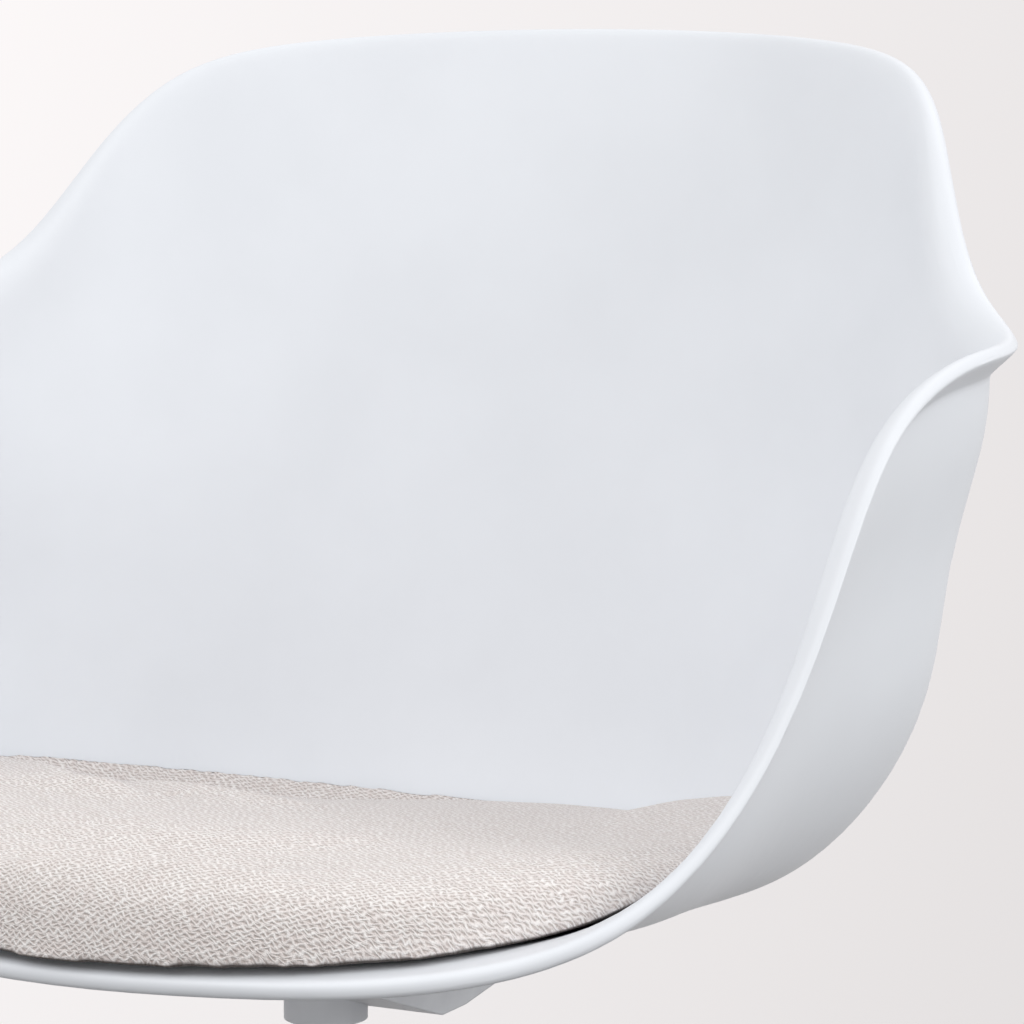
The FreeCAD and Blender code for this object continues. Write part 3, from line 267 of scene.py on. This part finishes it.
def spread(tree, value, low, high, start=0.35, end=0.65):
    """Stretches the middle of a noise over a new range."""
    inputs = {"Value": value, "From Min": start, "From Max": end, "To Min": low, "To Max": high}
    return add_node(tree, "MapRange", inputs).outputs[0]


def drifting_finish(name, light, dark, gloss, cloud_width, grain_width, grain_depth,
                    sockets=None, stretch=(1.0, 1.0, 1.0), edge=0.0):
    """Colour between light and dark, roughness between the two glosses, a fine grain, and softened edges."""
    finish, tree, shader = new_finish(name, sockets or {})
    place = stretched_place(tree, stretch)
    drift = spread(tree, cloud(tree, place, cloud_width), 0.0, 1.0)
    colour = add_node(tree, "Mix", {0: drift, 6: linear(*dark), 7: linear(*light)}, data_type="RGBA")
    tree.links.new(colour.outputs[2], shader.inputs["Base Color"])
    grain = cloud(tree, place, grain_width, 2.0)
    shine = add_node(tree, "Mix", {0: drift, 2: gloss[0], 3: gloss[1]}).outputs[0]
    rough = sum_up(tree, "ADD", shine, spread(tree, grain, -GRAIN_SHINE, GRAIN_SHINE))
    tree.links.new(rough, shader.inputs["Roughness"])
    relief = add_node(tree, "Bump", {"Height": grain, "Distance": grain_depth * MILLIMETRE, "Strength": 1.0})
    if edge:
        rounded = add_node(tree, "Bevel", {"Radius": edge * MILLIMETRE}, samples=EDGE_SAMPLES)
        tree.links.new(rounded.outputs[0], relief.inputs["Normal"])
    tree.links.new(relief.outputs[0], shader.inputs["Normal"])
    return finish


print("a 2 mm pattern repeats", per_metre(2.0), "times in a metre")

# %% [markdown]
# The shell is one white moulding with a satin skin: cool white, even, with a very fine spark-eroded grain.
# Such a skin shows best as soft gloss, so the roughness sits in the middle.
# The grain is about a hundredth of a millimetre deep.

# %% White satin plastic
finishes = {}
finishes["shell_plastic"] = drifting_finish(
    "white_satin_plastic", light=(229, 232, 237), dark=(226, 229, 234), gloss=(0.42, 0.48),
    cloud_width=90.0, grain_width=0.9, grain_depth=0.012, sockets={"IOR": 1.49})
print("shell finish", finishes["shell_plastic"].name)

# %% [markdown]
# Under the seat are the metals: a coated plate and housing, bare steel pins, springs and a chromed column.
# Metal gets its look from reflections, so the colour hardly drifts.
# It is the roughness that tells the finishes apart.
# Brushed and turned metal is a noise stretched along one way; a cast skin is a coarser noise.

# %% The metals
METAL = {"Metallic": 1.0}
finishes["black_steel"] = drifting_finish(
    "black_powder_coat", (40, 41, 43), (33, 34, 36), (0.46, 0.58), 40.0, 0.7, 0.05, edge=0.6)
finishes["cast_housing"] = drifting_finish(
    "white_cast_coat", (222, 224, 228), (212, 214, 219), (0.48, 0.60), 30.0, 1.4, 0.08, edge=1.2)
finishes["steel"] = drifting_finish(
    "zinc_steel", (190, 192, 194), (172, 174, 178), (0.26, 0.38), 12.0, 0.6, 0.02, METAL, edge=0.3)
finishes["spring_steel"] = drifting_finish(
    "oiled_spring_steel", (96, 97, 102), (70, 71, 76), (0.30, 0.42), 6.0, 0.5, 0.03, METAL)
finishes["brass"] = drifting_finish(
    "turned_brass", (205, 176, 110), (188, 158, 92), (0.24, 0.34), 8.0, 0.5, 0.02, METAL)
finishes["column_chrome"] = drifting_finish(
    "column_chrome", (212, 214, 217), (206, 208, 212), (0.10, 0.16), 60.0, 0.8, 0.004, METAL, (1.0, 1.0, 0.1))
finishes["base_aluminium"] = drifting_finish(
    "satin_aluminium", (214, 215, 217), (204, 205, 208), (0.30, 0.38), 45.0, 0.8, 0.012, METAL, edge=1.5)
print(len(finishes), "finishes so far")

# %% [markdown]
# The castors, the lever's grip and the small bushes are moulded plastics and rubber.
# They are mostly darker and duller than the shell.
# The wheels are scuffed where they roll, so their gloss drifts widely.

# %% The plastics and rubber
finishes["handle_plastic"] = drifting_finish(
    "grained_black_plastic", (44, 44, 46), (36, 36, 38), (0.42, 0.52), 20.0, 1.1, 0.08, edge=0.8)
finishes["castor_plastic"] = drifting_finish(
    "black_moulded_plastic", (50, 51, 53), (41, 42, 44), (0.36, 0.48), 18.0, 0.9, 0.04, edge=0.8)
finishes["wheel_plastic"] = drifting_finish(
    "scuffed_wheel_plastic", (74, 75, 77), (56, 57, 59), (0.44, 0.68), 7.0, 0.8, 0.08, edge=0.8)
finishes["nylon"] = drifting_finish(
    "natural_nylon", (226, 220, 206), (214, 207, 192), (0.40, 0.50), 9.0, 0.6, 0.02)
finishes["rubber"] = drifting_finish(
    "black_rubber", (38, 38, 38), (28, 28, 28), (0.70, 0.84), 6.0, 0.5, 0.05)
finishes["grip"] = drifting_finish(
    "hook_and_loop", (58, 58, 60), (30, 30, 32), (0.85, 0.95), 1.6, 0.8, 0.5)
finishes["board"] = drifting_finish(
    "birch_board", (205, 178, 140), (178, 146, 106), (0.55, 0.68), 7.0, 1.5, 0.1, None, (0.12, 1.0, 1.0))
print(len(finishes), "finishes so far")

# %% [markdown]
# The pad's cover is a thick knit of pale, slightly pink wool, in wavy rows that slip against each other.
# A real knit could be made as yarn, loop by loop, but that is far too much thread for a whole seat.
# So the rows are worked out by arithmetic: a yarn in a zigzag for each row, and a flatter one behind it.
# Between the two lie small dark gaps, and a slow noise lets the rows slip, so that no two gaps are alike.
# The height drives both the relief and the colour, because the dips between the yarns lie in shade.
# Where the pad's skin faces down, its colour is painted dark: painted shade under the pad, which shows only
# as a thin dark line over the lip.

# %% Knitted wool
STITCH_WIDTH = 4.6
ROW_PITCH = 3.3
ROW_WAVE = 0.30
ROW_SLIP = 9.0
YARN_WIDTH = 0.88
BACK_YARN = 0.6
BACK_YARN_TOP = 0.7
WANDER_WIDTH = 12.0
WANDER_REACH = 4.0
SLIP_WIDTH = 18.0
SLIP_PER_ROW = 0.6
KNIT_DEPTH = 0.9
ACROSS_TOP = 0.98
DOWN_FRONT = 0.90
FIBRE_WIDTH = 0.8
FIBRE_FUZZ = 0.22
MELANGE_WIDTH = 4.0
YARN_DULL = (238, 230, 227)
YARN_PALE = (250, 246, 244)
GAP_SHADE = (194, 182, 177)
PAINTED_UNDERSIDE_SHADE = (82, 74, 70)
UNDERSIDE_SHADE_FACING = (-0.7, -0.3)


def wandered(tree, place, width, amount):
    """The place, moved about by soft noise."""
    inputs = {"Vector": place, "Scale": per_metre(width), "Detail": 2.0}
    noise = add_node(tree, "TexNoise", inputs).outputs["Color"]
    shift = add_node(tree, "VectorMath", {0: noise, 1: (0.5, 0.5, 0.5)}, operation="SUBTRACT")
    inputs = {0: shift.outputs[0], "Scale": amount * MILLIMETRE}
    shift = add_node(tree, "VectorMath", inputs, operation="SCALE")
    return add_node(tree, "VectorMath", {0: place, 1: shift.outputs[0]}, operation="ADD").outputs[0]


def yarns(tree, row, width, top):
    """A rounded yarn for each whole step of row: top on its crest, 0 beside it."""
    share = sum_up(tree, "DIVIDE", sum_up(tree, "PINGPONG", row, 0.5), 0.5 * width)
    inputs = {"Value": share, "From Min": 0.1, "From Max": 1.0, "To Min": top, "To Max": 0.0}
    return add_node(tree, "MapRange", inputs, interpolation_type="SMOOTHSTEP").outputs[0]


def knit_height(tree, place):
    """How far the yarn stands up at a point, from 0 in the gaps to 1."""
    part = add_node(tree, "SeparateXYZ", {0: wandered(tree, place, WANDER_WIDTH, WANDER_REACH)})
    along = part.outputs["X"]
    top = sum_up(tree, "MULTIPLY", part.outputs["Y"], ACROSS_TOP)
    front = sum_up(tree, "MULTIPLY", part.outputs["Z"], DOWN_FRONT)
    row = sum_up(tree, "MULTIPLY", sum_up(tree, "ADD", top, front), per_metre(ROW_PITCH))
    slip_place = add_node(tree, "CombineXYZ", {0: sum_up(tree, "MULTIPLY", along, per_metre(SLIP_WIDTH)),
                                               1: sum_up(tree, "MULTIPLY", row, SLIP_PER_ROW)}).outputs[0]
    slip = add_node(tree, "TexNoise", {"Vector": slip_place, "Scale": 1.0, "Detail": 0.0}).outputs["Fac"]
    turn = sum_up(tree, "MULTIPLY", along, 2.0 * pi * per_metre(STITCH_WIDTH))
    turn = sum_up(tree, "ADD", turn, sum_up(tree, "MULTIPLY", slip, ROW_SLIP))
    wave = sum_up(tree, "MULTIPLY", sum_up(tree, "SINE", turn), ROW_WAVE)
    zigzag = yarns(tree, sum_up(tree, "ADD", row, wave), YARN_WIDTH, 1.0)
    behind = yarns(tree, sum_up(tree, "ADD", row, 0.5), BACK_YARN, BACK_YARN_TOP)
    return sum_up(tree, "MAXIMUM", zigzag, behind)


def knitted_wool():
    """Pale melange wool: shaded dips, brighter yarn, a fuzz of fibres, and painted shade where the skin faces
    down.
    """
    finish, tree, shader = new_finish("knitted_wool", {"Roughness": 0.95, "Sheen Weight": 0.2,
                                                       "Sheen Roughness": 0.5, "IOR": 1.35})
    place = add_node(tree, "TexCoord").outputs["Object"]
    height = knit_height(tree, place)
    fibre = cloud(tree, place, FIBRE_WIDTH, 3.0)
    melange = spread(tree, cloud(tree, place, MELANGE_WIDTH, 2.0), 0.0, 1.0)
    yarn = add_node(tree, "Mix", {0: melange, 6: linear(*YARN_DULL), 7: linear(*YARN_PALE)}, data_type="RGBA")
    fuzzy = sum_up(tree, "ADD", height, spread(tree, fibre, -FIBRE_FUZZ, FIBRE_FUZZ))
    raised = spread(tree, fuzzy, 0.0, 1.0, -0.1, 0.9)
    colour = add_node(tree, "Mix", {0: raised, 6: linear(*GAP_SHADE), 7: yarn.outputs[2]}, data_type="RGBA")
    # The skin that faces down gets a dark colour: painted shade under the pad's front edge, not a real
    # backing.
    normal = add_node(tree, "SeparateXYZ", {0: add_node(tree, "NewGeometry").outputs["Normal"]})
    below = spread(tree, normal.outputs["Z"], 1.0, 0.0, *UNDERSIDE_SHADE_FACING)
    colour = add_node(tree, "Mix", {0: below, 6: colour.outputs[2], 7: linear(*PAINTED_UNDERSIDE_SHADE)}, data_type="RGBA")
    tree.links.new(colour.outputs[2], shader.inputs["Base Color"])
    relief = add_node(tree, "Bump", {"Height": fuzzy, "Distance": KNIT_DEPTH * MILLIMETRE, "Strength": 0.7})
    tree.links.new(relief.outputs[0], shader.inputs["Normal"])
    return finish


finishes["pad_fabric"] = knitted_wool()
print("knit of", STITCH_WIDTH, "by", ROW_PITCH, "mm stitches")

# %% [markdown]
# Each solid says in the record which finish it takes, so one loop dresses them all.
# Only the material slot changes: the mesh of a solid is never touched.

# %% Dress the solids
for row in frame["record"]["subparts"]:
    mesh = nodes[row["node"]].data
    mesh.materials.clear()
    mesh.materials.append(finishes[row["material_slot"]])

# %% [markdown]
# The pad is a stuffed cover that fills the floor of the shell and climbs a little up its walls.
# Its solid is smooth and plain, so the cover is made from a copy of it, cut into small even faces.
# The faces are made on the skin of a slightly fuller pad, which leaves no thin slivers at its edge.
# The seat's floor lies at its height over the column, in metres, and leans back by its angle, in degrees.

# %% Cut the pad into even faces
SEAT_HEIGHT = 0.430
SEAT_ANGLE = 5.0
PAD_FACE = 0.004
PAD_STUFFED = 0.0025
EASE = 0.5
CALM_ROUNDS = 6

seat_place = Matrix.Translation((0.0, 0.0, SEAT_HEIGHT)) @ Matrix.Rotation(radians(-SEAT_ANGLE), 4, "X")


def made_real(piece):
    """Turns a piece's modifiers into its mesh."""
    graph = bpy.context.evaluated_depsgraph_get()
    mesh = bpy.data.meshes.new_from_object(piece.evaluated_get(graph))
    piece.modifiers.clear()
    piece.data = mesh


def points(mesh):
    """The places of a mesh's points, one row each."""
    flat = np.empty(3 * len(mesh.vertices), np.float32)
    mesh.vertices.foreach_get("co", flat)
    return flat.reshape(-1, 3).astype(float)


def put_points(mesh, rows):
    """Moves a mesh's points."""
    mesh.vertices.foreach_set("co", rows.astype(np.float32).ravel())
    mesh.update()


pad = bpy.data.objects.new("knitted_seat_pad", nodes["seat_cushion"].data.copy())
scene.collection.objects.link(pad)
fuller = pad.modifiers.new("fuller", "DISPLACE")
fuller.mid_level = 0.0
fuller.strength = PAD_STUFFED
even = pad.modifiers.new("even_faces", "REMESH")
even.mode = "VOXEL"
even.voxel_size = PAD_FACE
calm = pad.modifiers.new("calm", "SMOOTH")
calm.factor = EASE
calm.iterations = CALM_ROUNDS
made_real(pad)
print("pad cut into", len(pad.data.polygons), "faces")

# %% [markdown]
# Where the cover meets the shell its edge would be a sharp, ragged wedge, and a sewn cover has none.
# So the points near the shell's inner skin are smoothed many times more than the rest.

# %% Round the pad's lower edge
NEAR_SHELL = 0.015
EDGE_ROUNDS = 14
ROOM_HEIGHT = 0.15
ROOM_MIDDLE = seat_place @ Vector((0.0, 0.0, ROOM_HEIGHT))


def inner_skin(solid):
    """The faces of a solid that look into the seat's room."""
    faces = [p.vertices for p in solid.data.polygons if p.normal.dot(ROOM_MIDDLE - p.center) > 0.0]
    return BVHTree.FromPolygons([v.co for v in solid.data.vertices], faces)


def smoothed(piece, rounds, group=""):
    """Evens out a piece's points, over the whole or only in one group."""
    ease = piece.modifiers.new("ease", "SMOOTH")
    ease.factor = EASE
    ease.iterations = rounds
    ease.vertex_group = group
    made_real(piece)


shell_skin = inner_skin(nodes["seat_shell"])
by_shell = pad.vertex_groups.new(name="by_shell")
for index, row in enumerate(points(pad.data)):
    gap = shell_skin.find_nearest(Vector(row), NEAR_SHELL)[3]
    if gap is not None:
        by_shell.add([index], 1.0 - gap / NEAR_SHELL, "REPLACE")
smoothed(pad, EDGE_ROUNDS, "by_shell")
print("rounded the edge within", NEAR_SHELL * 1000, "mm of the shell")

# %% [markdown]
# Now the cover is a cloth: its underside is held, and a little pressure from inside swells the rest.
# A brush could shape it too, but the pressure rounds every edge in the same, natural way.
# No point may move further than a cap, so the pad keeps its size.

# %% Swell the pad
PRESSURE = 4.0
SWELL_CAP = 0.002
SETTLE_FRAMES = 20
HELD_BELOW = -0.2
NO_MOVE = 1e-9

into_seat = np.array(seat_place.inverted())


def seat_points(rows):
    """Places in the seat's own frame, where Z is square to the seat."""
    return rows @ into_seat[:3, :3].T + into_seat[:3, 3]


start = points(pad.data)
normals = np.empty(3 * len(pad.data.vertices), np.float32)
pad.data.vertex_normals.foreach_get("vector", normals)
facing = normals.reshape(-1, 3) @ np.array(seat_place.to_3x3())[:, 2]
held = pad.vertex_groups.new(name="held")
held.add([int(i) for i in np.flatnonzero(facing < HELD_BELOW)], 1.0, "REPLACE")

stuffing = pad.modifiers.new("stuffing", "CLOTH")
stuffing.settings.vertex_group_mass = "held"
stuffing.settings.use_pressure = True
stuffing.settings.uniform_pressure_force = PRESSURE
stuffing.settings.effector_weights.gravity = 0.0
for step in range(1, SETTLE_FRAMES + 1):
    scene.frame_set(step)
made_real(pad)
scene.frame_set(1)

moved = points(pad.data) - start
reach = np.linalg.norm(moved, axis=1)
share = np.minimum(1.0, SWELL_CAP / np.maximum(reach, NO_MOVE))
put_points(pad.data, start + moved * share[:, None])
print("pad swelled by up to", round(float(reach.max()) * 1000, 1), "mm, capped at", SWELL_CAP * 1000, "mm")

# %% [markdown]
# The pad lies a little crooked: at the rear it has slid down on one side and ridden up the wall on the other.
# A turn of the whole pad would lift its front off the lip, so only the rear of the cover is moved.
# Each pair is a place from side to side and the rise there, both in millimetres.

# %% Settle the rear of the pad
REAR_RISE = ((-240, -9), (-194, -17), (-142, -15.5), (-79, -16.5), (-11, -11), (61, -6.5), (86, -6),
             (112, -5), (138, 4), (170, 9), (200, 10))
REAR_FROM = -0.05
REAR_TO = 0.15


def lifted(rows, rise):
    """Points moved square to the seat, as far as they look upward."""
    return rows + (rise * np.clip(facing, 0.0, 1.0))[:, None] * np.array(seat_place.to_3x3())[:, 2]


rows = points(pad.data)
flat = seat_points(rows)
sides, rises = np.array(REAR_RISE, float).T * MILLIMETRE
rearward = np.clip((flat[:, 1] - REAR_FROM) / (REAR_TO - REAR_FROM), 0.0, 1.0)
settled = np.interp(flat[:, 0], sides, rises) * rearward ** 2 * (3.0 - 2.0 * rearward)
put_points(pad.data, lifted(rows, settled))
lowest, highest = round(float(settled.min()) * 1000, 1), round(float(settled.max()) * 1000, 1)
print("rear of the pad moved by", lowest, "to", highest, "mm")

# %% [markdown]
# A loose cover lies in soft folds, which run across the seat.
# More pressure would not make them, so they are laid one by one.
# Each follows a line of points on the seat, from side to side and from front to rear, in millimetres.
# A fold is a low swell along its line that dies away at both ends, with a shallow dip on its far side.

# %% Lay the folds
FOLD_LINES = (
    ((-165, -44), (-112, -49), (-60, -54)),
    ((-84, -164), (-11, -163), (50, -148), (99, -110)),
    ((-60, -232), (24, -214), (102, -200)),
    ((-214, 60), (-121, -35), (-81, -52)),
    ((-141, 43), (-70, -7), (-23, -22), (16, -23)),
)
FOLD_HEIGHT = 0.007
FOLD_WIDTH = 0.013
FOLD_STEP = 4.0
FOLD_DIP = 0.7
FOLD_DIP_AT = 1.3


def fold_course(line):
    """Close points along a fold, in metres, each with the fold's strength there."""
    corners = np.array(line, float)
    lengths = np.linalg.norm(np.diff(corners, axis=0), axis=1)
    marks = np.concatenate([[0.0], np.cumsum(lengths)])
    at = np.linspace(0.0, marks[-1], int(marks[-1] / FOLD_STEP) + 1)
    spots = np.stack([np.interp(at, marks, corners[:, axis]) for axis in (0, 1)], axis=1)
    return spots * MILLIMETRE, np.sin(pi * at / marks[-1]) ** 0.5


def fold_rise(spots):
    """How far the folds lift the cover at each place on the seat."""
    rise = np.zeros(len(spots))
    for line in FOLD_LINES:
        course, strength = fold_course(line)
        away = spots[:, None, :] - course[None, :, :]
        distance = np.linalg.norm(away, axis=2)
        near = distance.argmin(axis=1)
        row = np.arange(len(spots))
        gap = distance[row, near] * np.sign(away[row, near, 1])
        swell = np.exp(-(gap / FOLD_WIDTH) ** 2)
        dip = FOLD_DIP * np.exp(-(gap / FOLD_WIDTH - FOLD_DIP_AT) ** 2)
        rise += FOLD_HEIGHT * strength[near] * (swell - dip)
    return rise


rise = fold_rise(flat[:, :2])
put_points(pad.data, lifted(points(pad.data), rise))
print(len(FOLD_LINES), "folds, the highest", round(float(rise.max()) * 1000, 1), "mm")

# %% [markdown]
# In front the cover bulges over the lip of the seat, and under the bulge lies a narrow dark gap.
# So the front of the pad is drawn forward and down the lip, and its underside stays behind.
# Each pair of the sides is a distance from the middle of the seat and the share of the reach there.

# %% Draw the front forward
FRONT_FROM = -0.12
FRONT_TO = -0.19
FRONT_REACH = 0.012
FRONT_DROP = 0.4
FRONT_SIDES = ((0.165, 1.0), (0.188, 0.6), (0.205, 0.0))
UNDERSIDE = (0.001, 0.006)


def heights_above(rows, skin):
    """How far each point lies in front of the skin, no more than NEAR_SHELL."""
    heights = np.full(len(rows), NEAR_SHELL)
    for index, row in enumerate(rows):
        spot, normal, _, _ = skin.find_nearest(Vector(row), NEAR_SHELL)
        if spot is not None:
            heights[index] = (Vector(row) - spot).dot(normal)
    return heights


rows = points(pad.data)
flat = seat_points(rows)
frontward = np.clip((flat[:, 1] - FRONT_FROM) / (FRONT_TO - FRONT_FROM), 0.0, 1.0)
frontward *= np.interp(np.abs(flat[:, 0]), *np.array(FRONT_SIDES).T)
drawn = FRONT_REACH * frontward * np.interp(heights_above(rows, shell_skin), UNDERSIDE, (0.0, 1.0))
_, back, up = np.array(seat_place.to_3x3()).T
put_points(pad.data, rows + drawn[:, None] * (-back - FRONT_DROP * up))
print(int((drawn > 0.5 * FRONT_REACH).sum()), "points drawn forward by up to", FRONT_REACH * 1000, "mm")

# %% [markdown]
# The cover must not pass through the shell that it lies in.
# Each point looks for the nearest place on the shell, and steps back if it is too near or on the wrong side.

# %% Keep clear of the shell
PAD_CLEAR = 0.0015
LAST_ROUNDS = 4


def kept_clear(rows, skin, clearance):
    """Moves points that are too near the skin, or just behind it, to the clearance in front."""
    cleared = rows.copy()
    count = 0
    for index, row in enumerate(rows):
        spot, normal, _, _ = skin.find_nearest(Vector(row), NEAR_SHELL)
        if spot is not None and (Vector(row) - spot).dot(normal) < clearance:
            cleared[index] = spot + normal * clearance
            count += 1
    print(count, "points moved clear of the shell")
    return cleared


put_points(pad.data, kept_clear(points(pad.data), shell_skin, PAD_CLEAR))
smoothed(pad, LAST_ROUNDS)
put_points(pad.data, kept_clear(points(pad.data), shell_skin, PAD_CLEAR))
rounding = pad.modifiers.new("rounding", "SUBSURF")
rounding.levels = 1
rounding.render_levels = 1
made_real(pad)
for face in pad.data.polygons:
    face.use_smooth = True
pad.data.materials.clear()
pad.data.materials.append(finishes["pad_fabric"])
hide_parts("seat_cushion")
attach(pad, "seat")
print("pad has", len(pad.data.polygons), "faces")

# %% [markdown]
# Tilting the seat presses the two coil springs under it together, and a solid cannot get shorter.
# So a copy of the springs stands for them, hung on the lift with a mesh of its own, and the end of the tilt
# is read from the record.

# %% Copy the springs
springs = bpy.data.objects.new("coil_springs", nodes["tilt_springs"].data.copy())
scene.collection.objects.link(springs)
tilt = next(row for row in frame["record"]["behaviour"]["joints"] if row["name"] == "seat_tilt")
turn = radians(tilt["range_deg"][1])
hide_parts("tilt_springs")
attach(springs, "lift")
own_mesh(springs)
